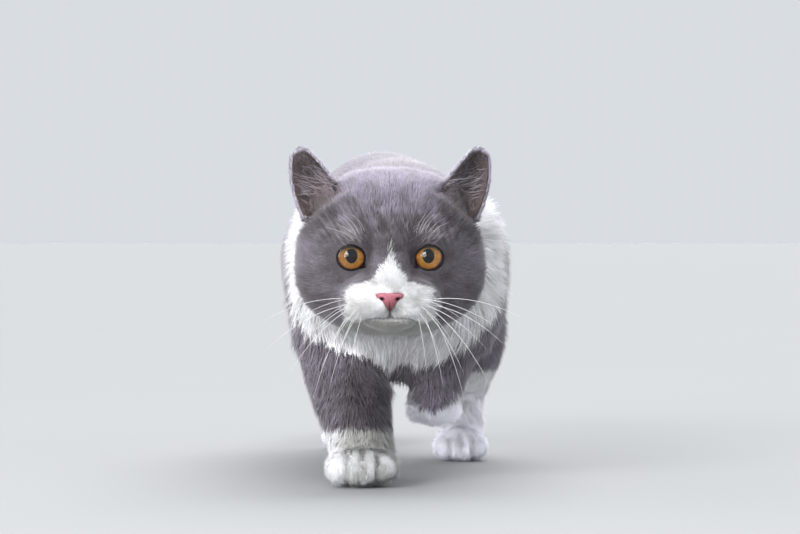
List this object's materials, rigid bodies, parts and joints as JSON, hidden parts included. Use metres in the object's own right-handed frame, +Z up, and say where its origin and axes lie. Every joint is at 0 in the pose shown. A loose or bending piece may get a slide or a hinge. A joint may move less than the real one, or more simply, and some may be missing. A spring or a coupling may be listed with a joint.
{
  "type": "cat, young british shorthair, life-size still model",
  "caption": "Life-size still model of a young bicolour shorthair cat in mid-walk, one forepaw lifted, standing on its own paws.",
  "frame": {"origin": "on the floor, under the middle of the cat's bounding box", "axes": "+Z up, the cat faces -Y, its left side is +X"},
  "size_m": [0.153, 0.5606, 0.2093],
  "materials": {
    "coat_slate": "dense plush blue-grey fur",
    "coat_white": "dense plush white fur",
    "nose_leather": "bare pink skin, slightly moist",
    "eye_amber": "clear wet cornea over an amber iris"
  },
  "bodies": {
    "root": {"belly": "coat_slate", "chest": "coat_white", "ear_left": "coat_slate", "ear_right": "coat_slate", "eye_left": "eye_amber", "eye_right": "eye_amber", "foreleg_left": "coat_slate", "foreleg_right": "coat_slate", "forepaw_left": "coat_white", "forepaw_right": "coat_white", "head": "coat_slate", "hindpaw_left": "coat_white", "hindpaw_right": "coat_white", "lower_jaw": "coat_white", "lower_leg_left": "coat_white", "lower_leg_right": "coat_white", "neck": "coat_slate", "nose": "nose_leather", "rump": "coat_slate", "tail_middle": "coat_slate", "tail_root": "coat_slate", "tail_tip": "coat_slate", "thigh_left": "coat_slate", "thigh_right": "coat_slate"}
  },
  "joints": []
}
